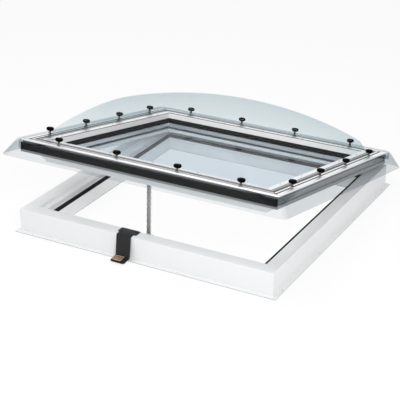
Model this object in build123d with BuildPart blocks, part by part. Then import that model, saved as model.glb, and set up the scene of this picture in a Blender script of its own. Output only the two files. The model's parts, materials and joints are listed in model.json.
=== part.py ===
# Opening skylight for a flat roof: a plastic kerb, a glazed sash hinged at the back
# and pushed up at the front by a chain, and a clear dome held by sixteen knobs.
# Millimetres, +Z up, the front towards -Y. The origin is the middle of the kerb, at the
# level of the roof under its flange. The sash is modelled open, as the chain holds it.
from build123d import *
from math import atan2, cos, degrees, radians, sin, sqrt, tan
import os

os.makedirs("parts", exist_ok=True)

# Kerb
kerb_width = 1100.0  # over the outer faces, the same both ways
kerb_height = 96.0
flange_reach = 16.0
flange_thickness = 3.0
rim_width = 54.0
rim_step = 14.0
rim_bevel_reach = 12.0
rim_bevel_drop = 8.0
rim_wall_lean = 2.0
ledge_drop = 39.0  # below the top of the kerb
ledge_width = 23.0
lining_lean_reach = 9.0
lining_lean_height = 14.0
flange_hole_bore = 5.0
flange_hole_edge = 8.0
flange_hole_end = 60.0
flange_holes_per_side = 4

# Sash, with depths measured down from the top of its rails
sash_step_in = 5.0  # from the outer face of the kerb
sash_stand = 55.0  # its top above the top of the kerb, closed
open_angle = 12.1
rail_depth = 14.0
rail_nose = 5.0
nose_depth = 6.5
nose_groove_height = 5.5
nose_groove_depth = 4.0
rail_side_thickness = 5.0
side_line_drop = 32.0
side_line_height = 3.0
side_line_depth = 2.5
rail_lip_width = 22.0
rail_lip_thickness = 3.0
slot_inset = 21.0
slot_mouth = 6.6
slot_lip = 3.0
slot_cavity_width = 12.0
slot_cavity_depth = 5.0
groove_inset = 38.0
groove_width = 3.5
groove_depth = 4.0
seal_inset = 54.0
seal_width = 4.5
key_thickness = 3.0
key_length = 34.0
key_corner_gap = 2.0  # to the groove under the nose
wall_gap = 5.0  # from its outer wall to the top of the kerb, closed
neck_height = 18.0
lower_taper_drop = 12.0
lower_clearance = 8.0  # from its lower part to the wall of the rim
sash_ledge_thickness = 13.0
sash_ledge_cover = 21.0  # of the glass over the ledge

# Glazing
bead_width = 10.0
bead_lean = 2.0
bead_depth = 25.0
outer_pane_thickness = 4.0
pane_gap = 16.0
inner_pane_thickness = 6.0
glass_clearance = 4.0
spacer_width = 7.0
edge_seal_width = 5.0
gasket_face_width = 16.0
tape_width = 12.0
tape_thickness = 5.0
block_length = 100.0
block_from_corner = 131.0  # to the middle of the block

# Seals
bulb_width = 11.0
bulb_height = 5.7
bulb_closing_gap = 0.3
gasket_stem_width = 3.4
gasket_stem_depth = 6.0
gasket_stem_clearance = 0.3
gasket_side_room = 9.0
strip_top = 12.0
strip_depth = 27.0
strip_reach = 8.0
strip_hollow = 4.0
strip_short_of_corner = 2.0

# Dome
acrylic_thickness = 3.0
dome_flange_reach = 20.0  # beyond the outer face of the sash
dome_corner_radius = 25.0
skirt_flare = 40.0
skirt_depth = 62.0
crown_inset = 40.0
crown_corner_radius = 95.0
crown_height = 186.0
crown_arch_rise = 87.5  # of the top's arch over the width of the crown's foot
crown_side_lean = 24.0

# Dome fixings
knobs_per_side = 4
knob_from_corner = 158.0  # from the corner of the sash to the first knob
knob_diameter = 30.0
knob_height = 14.0
knob_base = 14.5
knob_stem_diameter = 9.0
bolt_diameter = 6.0
bolt_head_width = 10.0
bolt_head_height = 3.0
bolt_clearance = 0.3

# Hinges
hinge_spacing = 600.0
hinge_axis_reach = 7.0  # behind the outer face of the kerb
hinge_drop = 23.0  # of its axis below the top of the sash
hinge_plate_thickness = 3.0
hinge_plate_width = 90.0
hinge_plate_height = 44.0
knuckle_radius = 7.0
knuckle_length = 26.0
knuckle_gap = 1.0
pin_radius = 3.0
pin_clearance = 0.1
sash_plate_width = 140.0
sash_plate_height = 18.0
sash_plate_drop = 31.0

# Chain opener
chain_x = -30.0
housing_length = 380.0
housing_width = 34.0
housing_foot = 4.0
housing_height = 40.0
housing_radius = 6.0
cap_thickness = 4.0
cap_overlap = 1.5
mouth_from_wall = 12.0
guide_length = 34.0
guide_width = 20.0
guide_height = 12.0
chain_pitch = 12.0
chain_width = 15.0
link_width = 9.0
plate_thickness = 1.5
chain_pin_radius = 1.6
chain_play = 0.3
head_length = 13.0
bracket_width = 40.0
bracket_plate = 3.0
lug_thickness = 3.0
lug_radius = 6.0
head_pin_radius = 2.5

# Rain sensor
sensor_x = -69.0
sensor_plate = 2.5
sensor_arm_width = 62.0
sensor_bar_width = 82.0
sensor_bar_start = 18.0
sensor_bar_end = 52.0
sensor_bend_radius = 4.0
sensor_stand_off = 0.3
sensor_foot_length = 58.0
sensor_foot_height = 14.0
sensor_foot_drop = 6.0
sensor_pad_length = 34.0
sensor_pad_width = 42.0
sensor_pad_thickness = 1.5
sensor_pad_shift = -8.0
sensor_pad_edge = 8.0

# Places that follow from those sizes
kerb_half = kerb_width / 2
sash_half = kerb_half - sash_step_in
sash_top_closed = kerb_height + sash_stand
hinge_y = kerb_half + hinge_axis_reach
hinge_axis_height = sash_top_closed - hinge_drop
open_sin = sin(radians(open_angle))
open_cos = cos(radians(open_angle))


def opened(y, depth):
    """Where a point of the closed sash, depth below its top, stands when it is open."""
    forward = y - hinge_y
    rise = hinge_drop - depth
    return Vector(
        0,
        hinge_y + forward * open_cos + rise * open_sin,
        hinge_axis_height - forward * open_sin + rise * open_cos,
    )


kerb_base = Plane.XY
sash_top = Plane(origin=opened(0, 0), x_dir=(1, 0, 0), z_dir=(0, open_sin, open_cos))


def turned(base, quarters):
    """The same plane turned about its own normal by quarter turns."""
    angle = radians(90 * quarters)
    direction = base.x_dir * cos(angle) + base.y_dir * sin(angle)
    return Plane(origin=base.origin, x_dir=direction, z_dir=base.z_dir)


def section_plane(base):
    """The plane across the front side of base, with x outwards and y up."""
    return Plane(origin=base.origin, x_dir=-base.y_dir, z_dir=-base.x_dir)


def mitred_side(base, points, radii, half_length):
    """The front side of a square frame, from its section, cut at both mitres."""
    with BuildPart() as side:
        with BuildSketch(section_plane(base)):
            with BuildLine():
                FilletPolyline(*points, radius=radii, close=True)
            make_face()
        extrude(amount=half_length, both=True)
        split(bisect_by=Plane(origin=base.origin, z_dir=-base.x_dir - base.y_dir))
        split(bisect_by=Plane(origin=base.origin, z_dir=base.x_dir - base.y_dir))
    return side.part


def square_frame(base, points, radii, half_length):
    """All four mitred sides of a square frame."""
    return [mitred_side(turned(base, side), points, radii, half_length) for side in range(4)]


# Kerb: one hollow-section look all round, with a flange to screw through
rim_inside = kerb_half - rim_width
rim_wall = rim_inside - rim_bevel_reach
ledge_outside = rim_wall - rim_wall_lean
ledge_inside = ledge_outside - ledge_width
ledge_height = kerb_height - ledge_drop
lining_half = ledge_inside - lining_lean_reach
gasket_centre = ledge_outside - (ledge_width + gasket_side_room) / 2
stem_slot = gasket_stem_width / 2 + gasket_stem_clearance
kerb_points = [
    (kerb_half + flange_reach, 0),
    (kerb_half + flange_reach, flange_thickness),
    (kerb_half, flange_thickness),
    (kerb_half, kerb_height),
    (rim_inside, kerb_height),
    (rim_inside, kerb_height - rim_step),
    (rim_wall, kerb_height - rim_step - rim_bevel_drop),
    (ledge_outside, ledge_height),
    (gasket_centre + stem_slot, ledge_height),
    (gasket_centre + stem_slot, ledge_height - gasket_stem_depth),
    (gasket_centre - stem_slot, ledge_height - gasket_stem_depth),
    (gasket_centre - stem_slot, ledge_height),
    (ledge_inside, ledge_height),
    (lining_half, ledge_height - lining_lean_height),
    (lining_half, 0),
]
kerb_radii = [0, 1, 2, 2.5, 2, 1, 2, 1, 0, 0, 0, 0, 2, 2, 0]
kerb_sides = square_frame(kerb_base, kerb_points, kerb_radii, kerb_half + flange_reach + 1)
hole_row = kerb_half + flange_reach - flange_hole_edge
hole_span = kerb_width - 2 * flange_hole_end
hole_pitch = hole_span / (flange_holes_per_side - 1)

with BuildPart() as kerb_frame:
    add(kerb_sides)
    for side in range(2):
        with BuildSketch(turned(kerb_base, side)):
            with GridLocations(hole_pitch, 2 * hole_row, flange_holes_per_side, 2):
                Circle(flange_hole_bore / 2)
        extrude(amount=flange_thickness, mode=Mode.SUBTRACT)

kerb_frame.part.label = "kerb_frame"
export_step(kerb_frame.part, "parts/kerb_frame.step")

# Kerb gasket: a stem in the groove of the ledge and a bulb that the sash closes on
bulb_top = ledge_height + bulb_height
bulb_points = [
    (gasket_centre - gasket_stem_width / 2, ledge_height - gasket_stem_depth + gasket_stem_clearance),
    (gasket_centre + gasket_stem_width / 2, ledge_height - gasket_stem_depth + gasket_stem_clearance),
    (gasket_centre + gasket_stem_width / 2, ledge_height),
    (gasket_centre + bulb_width / 2, ledge_height),
    (gasket_centre + bulb_width / 2, bulb_top),
    (gasket_centre - bulb_width / 2, bulb_top),
    (gasket_centre - bulb_width / 2, ledge_height),
    (gasket_centre - gasket_stem_width / 2, ledge_height),
]
bulb_round = 0.45 * bulb_height
bulb_radii = [0, 0, 0, 0, bulb_round, bulb_round, 0, 0]
gasket_sides = square_frame(kerb_base, bulb_points, bulb_radii, kerb_half)

with BuildPart() as kerb_gasket:
    add(gasket_sides)

kerb_gasket.part.label = "kerb_gasket"
export_step(kerb_gasket.part, "parts/kerb_gasket.step")

# Sash frame: an outer wall over the rim of the kerb, a web beside the glass
# and a ledge under it
sash_inside = lining_half
glass_half = sash_inside + sash_ledge_cover
web = glass_half + glass_clearance
rail_inside = web - bead_width
lip_start = rail_inside + rail_lip_width
lower_face = rim_wall - lower_clearance
outer_wall_inside = lower_face + lower_taper_drop
outer_wall_depth = sash_stand - wall_gap
lower_neck_depth = outer_wall_depth + neck_height
sash_depth = sash_top_closed - bulb_top - bulb_closing_gap
ledge_top = sash_depth - sash_ledge_thickness
side_inside = sash_half - rail_side_thickness
sash_points = [
    (side_inside, -rail_depth),
    (side_inside, -outer_wall_depth),
    (outer_wall_inside, -outer_wall_depth),
    (outer_wall_inside, -lower_neck_depth),
    (lower_face, -lower_neck_depth - lower_taper_drop),
    (lower_face - 1, -sash_depth),
    (sash_inside, -sash_depth),
    (sash_inside, -ledge_top),
    (web, -ledge_top),
    (web, -rail_lip_thickness),
    (lip_start, -rail_lip_thickness),
    (lip_start, -rail_depth),
]
sash_radii = [0, 0, 0, 1.5, 1.5, 1.5, 2, 1, 0, 0, 0, 0]
sash_sides = square_frame(sash_top, sash_points, sash_radii, sash_half + 1)

with BuildPart() as sash_frame:
    add(sash_sides)

sash_frame.part.label = "sash_frame"
export_step(sash_frame.part, "parts/sash_frame.step")

# Corner keys: thin plates let into slots across the mitres of the rails
key_middle = sqrt(2) * (sash_half - nose_groove_depth - key_corner_gap - key_length / 2)


def corner_key(clearance):
    """The four plates, or with a clearance the slots that they stand in."""
    with BuildPart() as keys:
        for corner in range(4):
            diagonal = turned(sash_top, corner + 0.5)
            with BuildSketch(diagonal):
                with Locations((key_middle, 0)):
                    Rectangle(sqrt(2) * key_length, key_thickness + 2 * clearance)
            extrude(amount=-rail_depth)
    return keys.part


key_plates = corner_key(0)

with BuildPart() as rail_corner_keys:
    add(key_plates)

rail_corner_keys.part.label = "rail_corner_keys"
export_step(rail_corner_keys.part, "parts/rail_corner_keys.step")

# Rails: four mitred aluminium extrusions, each with a T-slot for the bolts of the
# dome, a plain groove, a groove for the dome's seal, a thin lip over the bead and a
# side that covers the outer wall of the sash
slot = sash_half - slot_inset
groove = sash_half - groove_inset
seal = sash_half - seal_inset
cavity_top = slot_lip
cavity_floor = slot_lip + slot_cavity_depth
nose_groove_foot = nose_depth + nose_groove_height
side_line_foot = side_line_drop + side_line_height
rail_points = [
    (sash_half, -outer_wall_depth),
    (sash_half, -side_line_foot),
    (sash_half - side_line_depth, -side_line_foot),
    (sash_half - side_line_depth, -side_line_drop),
    (sash_half, -side_line_drop),
    (sash_half, -nose_groove_foot),
    (sash_half - nose_groove_depth, -nose_groove_foot),
    (sash_half - nose_groove_depth, -nose_depth),
    (sash_half, -nose_depth),
    (sash_half, 0),
    (slot + slot_mouth / 2, 0),
    (slot + slot_mouth / 2, -cavity_top),
    (slot + slot_cavity_width / 2, -cavity_top),
    (slot + slot_cavity_width / 2, -cavity_floor),
    (slot - slot_cavity_width / 2, -cavity_floor),
    (slot - slot_cavity_width / 2, -cavity_top),
    (slot - slot_mouth / 2, -cavity_top),
    (slot - slot_mouth / 2, 0),
    (groove + groove_width / 2, 0),
    (groove + groove_width / 2, -groove_depth),
    (groove - groove_width / 2, -groove_depth),
    (groove - groove_width / 2, 0),
    (seal + seal_width / 2, 0),
    (seal + seal_width / 2, -groove_depth),
    (seal - seal_width / 2, -groove_depth),
    (seal - seal_width / 2, 0),
    (rail_inside, 0),
    (rail_inside, -rail_lip_thickness),
    (lip_start, -rail_lip_thickness),
    (lip_start, -rail_depth),
    (side_inside, -rail_depth),
    (side_inside, -outer_wall_depth),
]
rail_radii = [1.5] + [0] * 8 + [rail_nose] + [0] * 22
rail_slots = corner_key(0.05)

with BuildPart() as sash_rail_front:
    add(mitred_side(sash_top, rail_points, rail_radii, sash_half + 1))
    add(rail_slots, mode=Mode.SUBTRACT)

sash_rail_front.part.label = "sash_rail_front"
export_step(sash_rail_front.part, "parts/sash_rail_front.step")

with BuildPart() as sash_rail_right:
    add(mitred_side(turned(sash_top, 1), rail_points, rail_radii, sash_half + 1))
    add(rail_slots, mode=Mode.SUBTRACT)

sash_rail_right.part.label = "sash_rail_right"
export_step(sash_rail_right.part, "parts/sash_rail_right.step")

with BuildPart() as sash_rail_back:
    add(mitred_side(turned(sash_top, 2), rail_points, rail_radii, sash_half + 1))
    add(rail_slots, mode=Mode.SUBTRACT)

sash_rail_back.part.label = "sash_rail_back"
export_step(sash_rail_back.part, "parts/sash_rail_back.step")

with BuildPart() as sash_rail_left:
    add(mitred_side(turned(sash_top, 3), rail_points, rail_radii, sash_half + 1))
    add(rail_slots, mode=Mode.SUBTRACT)

sash_rail_left.part.label = "sash_rail_left"
export_step(sash_rail_left.part, "parts/sash_rail_left.step")

# Glazing beads: leaning white strips screwed to the web above the glass
bead_foot = rail_inside - bead_lean
bead_points = [
    (web, -rail_lip_thickness),
    (web, -bead_depth),
    (bead_foot, -bead_depth),
    (rail_inside, -rail_lip_thickness),
]
bead_radii = [0, 0, 1, 0]
bead_names = ["front", "right", "back", "left"]
bead_sides = square_frame(sash_top, bead_points, bead_radii, sash_half)

for bead_side, bead_name in zip(bead_sides, bead_names):
    with BuildPart() as glazing_bead:
        add(bead_side)
    glazing_bead.part.label = "glazing_bead_" + bead_name
    export_step(glazing_bead.part, "parts/glazing_bead_" + bead_name + ".step")

# Glazing gasket: a black wedge between the beads and the outer pane
inner_pane_foot = ledge_top - tape_thickness
inner_pane_top = inner_pane_foot - inner_pane_thickness
outer_pane_foot = inner_pane_top - pane_gap
glass_depth = outer_pane_foot - outer_pane_thickness
gasket_points = [
    (web - 1, -bead_depth),
    (web - 1, -glass_depth),
    (web - gasket_face_width, -glass_depth),
    (bead_foot, -bead_depth),
]
glazing_gasket_sides = square_frame(sash_top, gasket_points, [0, 0, 2, 0], sash_half)

with BuildPart() as glazing_gasket:
    add(glazing_gasket_sides)

glazing_gasket.part.label = "glazing_gasket"
export_step(glazing_gasket.part, "parts/glazing_gasket.step")

# Glass unit: two panes, a spacer and an edge seal between them
with BuildPart() as outer_pane:
    with BuildSketch(sash_top.offset(-outer_pane_foot)):
        Rectangle(2 * glass_half, 2 * glass_half)
    extrude(amount=outer_pane_thickness)

outer_pane.part.label = "outer_pane"
export_step(outer_pane.part, "parts/outer_pane.step")

with BuildPart() as inner_pane:
    with BuildSketch(sash_top.offset(-inner_pane_foot)):
        Rectangle(2 * glass_half, 2 * glass_half)
    extrude(amount=inner_pane_thickness)

inner_pane.part.label = "inner_pane"
export_step(inner_pane.part, "parts/inner_pane.step")

spacer_half = glass_half - edge_seal_width

with BuildPart() as spacer_bar:
    with BuildSketch(sash_top.offset(-inner_pane_top)):
        Rectangle(2 * spacer_half, 2 * spacer_half)
        Rectangle(2 * (spacer_half - spacer_width), 2 * (spacer_half - spacer_width), mode=Mode.SUBTRACT)
    extrude(amount=pane_gap)

spacer_bar.part.label = "spacer_bar"
export_step(spacer_bar.part, "parts/spacer_bar.step")

with BuildPart() as edge_seal:
    with BuildSketch(sash_top.offset(-inner_pane_top)):
        Rectangle(2 * glass_half, 2 * glass_half)
        Rectangle(2 * spacer_half, 2 * spacer_half, mode=Mode.SUBTRACT)
    extrude(amount=pane_gap)

edge_seal.part.label = "edge_seal"
export_step(edge_seal.part, "parts/edge_seal.step")

# Glazing tape: it fills the space between the inner pane and the ledge
tape_inside = glass_half - tape_width

with BuildPart() as glazing_tape:
    with BuildSketch(sash_top.offset(-ledge_top)):
        Rectangle(2 * glass_half, 2 * glass_half)
        Rectangle(2 * tape_inside, 2 * tape_inside, mode=Mode.SUBTRACT)
    extrude(amount=tape_thickness)

glazing_tape.part.label = "glazing_tape"
export_step(glazing_tape.part, "parts/glazing_tape.step")

# Setting blocks: two on each edge hold the glass off the web
block_pitch = 2 * (glass_half - block_from_corner)
block_row = Location((0, -(glass_half + web) / 2))

with BuildPart() as setting_blocks:
    for side in range(4):
        with BuildSketch(turned(sash_top, side).offset(-inner_pane_foot)):
            with Locations(block_row):
                with GridLocations(block_pitch, 1, 2, 1):
                    Rectangle(block_length, glass_clearance)
        extrude(amount=inner_pane_foot - glass_depth)

setting_blocks.part.label = "setting_blocks"
export_step(setting_blocks.part, "parts/setting_blocks.step")

# Front strip: a hollowed black extrusion on the front of the sash, short of the
# right-hand corner
strip_foot = strip_top + strip_depth

with BuildPart() as front_seal_strip:
    with BuildSketch(section_plane(sash_top)):
        with BuildLine():
            Polyline((sash_half, -strip_foot), (sash_half, -strip_top), (sash_half + strip_reach, -strip_top))
            ThreePointArc(
                (sash_half + strip_reach, -strip_top),
                (sash_half + strip_reach - strip_hollow, -(strip_top + strip_foot) / 2),
                (sash_half + strip_reach, -strip_foot),
            )
            Line((sash_half + strip_reach, -strip_foot), (sash_half, -strip_foot))
        make_face()
    extrude(amount=sash_half - strip_short_of_corner, both=True)

front_seal_strip.part.label = "front_seal_strip"
export_step(front_seal_strip.part, "parts/front_seal_strip.step")

# Seal of the dome: a black strip in the inner groove of the rails
seal_points = [
    (seal + seal_width / 2 - 0.2, -groove_depth),
    (seal + seal_width / 2 - 0.2, 0),
    (seal - seal_width / 2 + 0.2, 0),
    (seal - seal_width / 2 + 0.2, -groove_depth),
]
dome_seal_sides = square_frame(sash_top, seal_points, [0, 0, 0, 0], sash_half)

with BuildPart() as dome_seal:
    add(dome_seal_sides)

dome_seal.part.label = "dome_seal"
export_step(dome_seal.part, "parts/dome_seal.step")

# Places of the dome's fixings, over the T-slots of the rails
knob_span = 2 * (sash_half - knob_from_corner)
knob_row = [knob_span * (index / (knobs_per_side - 1) - 0.5) for index in range(knobs_per_side)]
knob_spots = []
for side in range(4):
    for along in knob_row:
        spot = turned(sash_top, side).from_local_coords((along, -slot, 0))
        knob_spots.append(Plane(origin=spot, x_dir=turned(sash_top, side).x_dir, z_dir=sash_top.z_dir))

# Dome: a crown rising from a flat flange, and a flared skirt below it
dome_flange_half = sash_half + dome_flange_reach
skirt_half = dome_flange_half + skirt_flare
skirt_angle = atan2(skirt_flare, skirt_depth)
skirt_wall = acrylic_thickness / cos(skirt_angle)
crown_foot = sash_half - crown_inset
crown_sphere_radius = (crown_foot**2 + crown_arch_rise**2) / (2 * crown_arch_rise)


def skirt_body(inset):
    """The flared skirt as a full body, drawn in by inset."""
    with BuildPart() as body:
        with BuildSketch(sash_top.offset(acrylic_thickness)):
            RectangleRounded(2 * (dome_flange_half - inset), 2 * (dome_flange_half - inset), dome_corner_radius)
        with BuildSketch(sash_top.offset(-skirt_depth)):
            RectangleRounded(2 * (skirt_half - inset), 2 * (skirt_half - inset), dome_corner_radius)
        loft(ruled=True)
    return body.part


def crown_body(inset, foot_level):
    """The crown as a full body: leaning sides under a shallow sphere."""
    half = crown_foot - inset / cos(radians(crown_side_lean)) + foot_level * tan(radians(-crown_side_lean))
    level = acrylic_thickness + crown_height - crown_sphere_radius
    with BuildPart() as body:
        with BuildSketch(sash_top.offset(foot_level)):
            RectangleRounded(2 * half, 2 * half, crown_corner_radius - inset)
        extrude(amount=crown_height + 20, taper=crown_side_lean)
        with Locations(sash_top.offset(level)):
            Sphere(crown_sphere_radius - inset, rotation=(90, 0, 0), mode=Mode.INTERSECT)
    return body.part


crown_outside = crown_body(0, 0)
crown_inside = crown_body(acrylic_thickness, -1)
skirt_outside = skirt_body(0)
skirt_inside = skirt_body(skirt_wall)

with BuildPart() as dome:
    add(skirt_outside)
    add(skirt_inside, mode=Mode.SUBTRACT)
    with BuildSketch(sash_top):
        RectangleRounded(2 * dome_flange_half, 2 * dome_flange_half, dome_corner_radius)
    extrude(amount=acrylic_thickness)
    add(crown_outside)
    add(crown_inside, mode=Mode.SUBTRACT)
    for spot in knob_spots:
        with BuildSketch(spot):
            RegularPolygon(bolt_diameter / 2 + bolt_clearance, 8)
        extrude(amount=acrylic_thickness, mode=Mode.SUBTRACT)

dome.part.label = "dome"
export_step(dome.part, "parts/dome.step")

# Dome fixings: a bolt with its head in the T-slot, and a knob on the flange over it
with BuildPart() as one_bolt:
    with BuildSketch(Plane.XY.offset(-cavity_top)):
        Rectangle(bolt_head_width, bolt_head_width)
    extrude(amount=-bolt_head_height)
    with BuildSketch(Plane.XY.offset(-cavity_top)):
        RegularPolygon(bolt_diameter / 2, 8)
    extrude(amount=cavity_top + acrylic_thickness)

with BuildPart() as one_knob:
    with BuildSketch(Plane.XY.offset(acrylic_thickness)):
        RegularPolygon(knob_stem_diameter / 2, 8)
    extrude(amount=knob_base - acrylic_thickness)
    with BuildSketch(Plane.XY.offset(knob_base)):
        Circle(knob_diameter / 2)
    extrude(amount=knob_height)

with BuildPart() as knob_bolts:
    with Locations(*knob_spots):
        add(one_bolt.part)

knob_bolts.part.label = "knob_bolts"
export_step(knob_bolts.part, "parts/knob_bolts.step")

with BuildPart() as fixing_knobs:
    with Locations(*knob_spots):
        add(one_knob.part)

fixing_knobs.part.label = "fixing_knobs"
export_step(fixing_knobs.part, "parts/fixing_knobs.step")

# Hinges: a leaf with two knuckles on the kerb, a leaf with one knuckle on the sash
# and a pin through them
middle_knuckle = hinge_plate_width - 2 * (knuckle_length + knuckle_gap)
knuckle_bore = pin_radius + pin_clearance
sash_across = Plane(origin=sash_top.origin, x_dir=sash_top.y_dir, z_dir=sash_top.x_dir)


def kerb_leaf(middle):
    """A leaf on the back of the kerb, with its knuckles above the rim."""
    knuckle_starts = [middle - hinge_plate_width / 2, middle + hinge_plate_width / 2 - knuckle_length]
    with BuildPart() as leaf:
        with BuildSketch(Plane.YZ.offset(middle - hinge_plate_width / 2)):
            with Locations((kerb_half, kerb_height)):
                Rectangle(hinge_plate_thickness, hinge_plate_height, align=(Align.MIN, Align.MAX))
        extrude(amount=hinge_plate_width)
        for start in knuckle_starts:
            with BuildSketch(Plane.YZ.offset(start)):
                with Locations((kerb_half, kerb_height)):
                    Rectangle(hinge_plate_thickness, hinge_axis_height - kerb_height, align=(Align.MIN, Align.MIN))
                with Locations((hinge_y, hinge_axis_height)):
                    Circle(knuckle_radius)
                    Circle(knuckle_bore, mode=Mode.SUBTRACT)
            extrude(amount=knuckle_length)
    return leaf.part


def sash_leaf(middle):
    """A leaf on the back of the sash, with its knuckle between the kerb's two."""
    plate_top = -sash_plate_drop
    with BuildPart() as leaf:
        with BuildSketch(sash_across.offset(middle - sash_plate_width / 2)):
            with Locations((sash_half, plate_top)):
                Rectangle(hinge_plate_thickness, sash_plate_height, align=(Align.MIN, Align.MAX))
        extrude(amount=sash_plate_width)
        with BuildSketch(sash_across.offset(middle - middle_knuckle / 2)):
            with Locations((sash_half, plate_top)):
                Rectangle(hinge_plate_thickness, sash_plate_drop - hinge_drop + knuckle_radius, align=(Align.MIN, Align.MIN))
            with Locations((sash_half, -hinge_drop)):
                Rectangle(hinge_y - sash_half, hinge_plate_thickness, align=(Align.MIN, Align.CENTER))
            with Locations((hinge_y, -hinge_drop)):
                Circle(knuckle_radius)
                Circle(knuckle_bore, mode=Mode.SUBTRACT)
        extrude(amount=middle_knuckle)
    return leaf.part


def hinge_pin(middle):
    """The pin, flush with the ends of the kerb's knuckles."""
    with BuildPart() as pin:
        with BuildSketch(Plane.YZ.offset(middle - hinge_plate_width / 2)):
            with Locations((hinge_y, hinge_axis_height)):
                Circle(pin_radius)
        extrude(amount=hinge_plate_width)
    return pin.part


for middle, hand in ((-hinge_spacing / 2, "left"), (hinge_spacing / 2, "right")):
    with BuildPart() as hinge_kerb_leaf:
        add(kerb_leaf(middle))
    hinge_kerb_leaf.part.label = "hinge_kerb_leaf_" + hand
    export_step(hinge_kerb_leaf.part, "parts/hinge_kerb_leaf_" + hand + ".step")

    with BuildPart() as hinge_sash_leaf:
        add(sash_leaf(middle))
    hinge_sash_leaf.part.label = "hinge_sash_leaf_" + hand
    export_step(hinge_sash_leaf.part, "parts/hinge_sash_leaf_" + hand + ".step")

    with BuildPart() as hinge_pin_piece:
        add(hinge_pin(middle))
    hinge_pin_piece.part.label = "hinge_pin_" + hand
    export_step(hinge_pin_piece.part, "parts/hinge_pin_" + hand + ".step")

# Opener: a long housing on the inside of the front of the kerb, with end caps and
# the guide that the chain comes out of
housing_back = -lining_half
housing_top = housing_foot + housing_height
mouth_y = -lining_half + mouth_from_wall
housing_plane = Plane.YZ.offset(chain_x - housing_length / 2)

with BuildPart() as actuator_housing:
    with BuildSketch(housing_plane):
        with BuildLine():
            FilletPolyline(
                (housing_back, housing_foot),
                (housing_back, housing_top),
                (housing_back + housing_width, housing_top),
                (housing_back + housing_width, housing_foot),
                radius=[0, 1, housing_radius, housing_radius],
                close=True,
            )
        make_face()
    extrude(amount=housing_length)

actuator_housing.part.label = "actuator_housing"
export_step(actuator_housing.part, "parts/actuator_housing.step")

with BuildPart() as actuator_end_caps:
    for start in (chain_x - housing_length / 2 - cap_thickness, chain_x + housing_length / 2):
        with BuildSketch(Plane.YZ.offset(start)):
            with BuildLine():
                FilletPolyline(
                    (housing_back, housing_foot - cap_overlap),
                    (housing_back, housing_top + cap_overlap),
                    (housing_back + housing_width + cap_overlap, housing_top + cap_overlap),
                    (housing_back + housing_width + cap_overlap, housing_foot - cap_overlap),
                    radius=[0, 1, housing_radius + cap_overlap, housing_radius + cap_overlap],
                    close=True,
                )
            make_face()
        extrude(amount=cap_thickness)

actuator_end_caps.part.label = "actuator_end_caps"
export_step(actuator_end_caps.part, "parts/actuator_end_caps.step")

guide_slot_length = chain_width + 4 * chain_play
guide_slot_width = link_width + 8 * chain_play

with BuildPart() as chain_guide:
    with BuildSketch(Plane.XY.offset(housing_top)):
        with Locations((chain_x, mouth_y)):
            RectangleRounded(guide_length, guide_width, 3)
            Rectangle(guide_slot_length, guide_slot_width, mode=Mode.SUBTRACT)
    extrude(amount=guide_height)

chain_guide.part.label = "chain_guide"
export_step(chain_guide.part, "parts/chain_guide.step")

# Chain: wide and narrow links in turn on their pins, from the guide up to the head
# that holds the sash
mouth = Vector(chain_x, mouth_y, housing_top + guide_height)
bracket_pin_drop = sash_depth - lug_radius
head_pin = opened(mouth_y, bracket_pin_drop) + Vector(chain_x, 0, 0)
chain_direction = (head_pin - mouth).normalized()
chain_end = head_pin - chain_direction * head_length
chain_plane = Plane(origin=chain_end, x_dir=-chain_direction, z_dir=(1, 0, 0))
link_count = int((chain_end.Z - housing_top - link_width / 2) / (chain_pitch * chain_direction.Z))
outer_plate_start = chain_width / 2 - plate_thickness
inner_plate_start = outer_plate_start - plate_thickness - chain_play

half_link = (chain_pitch + link_width) / 2
link_round = 0.3 * link_width
plate_points = [
    (-half_link, -link_width / 2 + link_round),
    (-half_link + link_round, -link_width / 2),
    (half_link - link_round, -link_width / 2),
    (half_link, -link_width / 2 + link_round),
    (half_link, link_width / 2 - link_round),
    (half_link - link_round, link_width / 2),
    (-half_link + link_round, link_width / 2),
    (-half_link, link_width / 2 - link_round),
]

with BuildPart() as push_chain:
    for first, start in ((0, outer_plate_start), (1, inner_plate_start)):
        middles = [((index + 0.5) * chain_pitch, 0) for index in range(first, link_count, 2)]
        for plate_start in (start, -start - plate_thickness):
            with BuildSketch(chain_plane.offset(plate_start)):
                with Locations(*middles):
                    Polygon(*plate_points, align=None)
            extrude(amount=plate_thickness)
    with BuildSketch(chain_plane.offset(-outer_plate_start)):
        with Locations(*[(index * chain_pitch, 0) for index in range(link_count)]):
            RegularPolygon(chain_pin_radius, 6)
    extrude(amount=2 * outer_plate_start)

push_chain.part.label = "push_chain"
export_step(push_chain.part, "parts/push_chain.step")

# Chain head: the last piece of the chain, which turns on the pin of the bracket
head_plane = Plane(origin=(head_pin + chain_end) / 2, x_dir=chain_direction, z_dir=(1, 0, 0))
head_half_width = outer_plate_start - chain_play

with BuildPart() as chain_head:
    with BuildSketch(head_plane):
        SlotCenterToCenter(head_length, link_width)
        with Locations((head_length / 2, 0)):
            Circle(head_pin_radius + pin_clearance, mode=Mode.SUBTRACT)
        with Locations((-head_length / 2, 0)):
            Circle(chain_pin_radius + pin_clearance, mode=Mode.SUBTRACT)
    extrude(amount=head_half_width, both=True)

chain_head.part.label = "chain_head"
export_step(chain_head.part, "parts/chain_head.step")

# Bracket on the inner face of the sash's ledge, with two lugs and a pin
lug_inside = head_half_width + chain_play
lug_outside = lug_inside + lug_thickness
bracket_face = -sash_inside
pin_from_face = mouth_y + sash_inside

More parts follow.
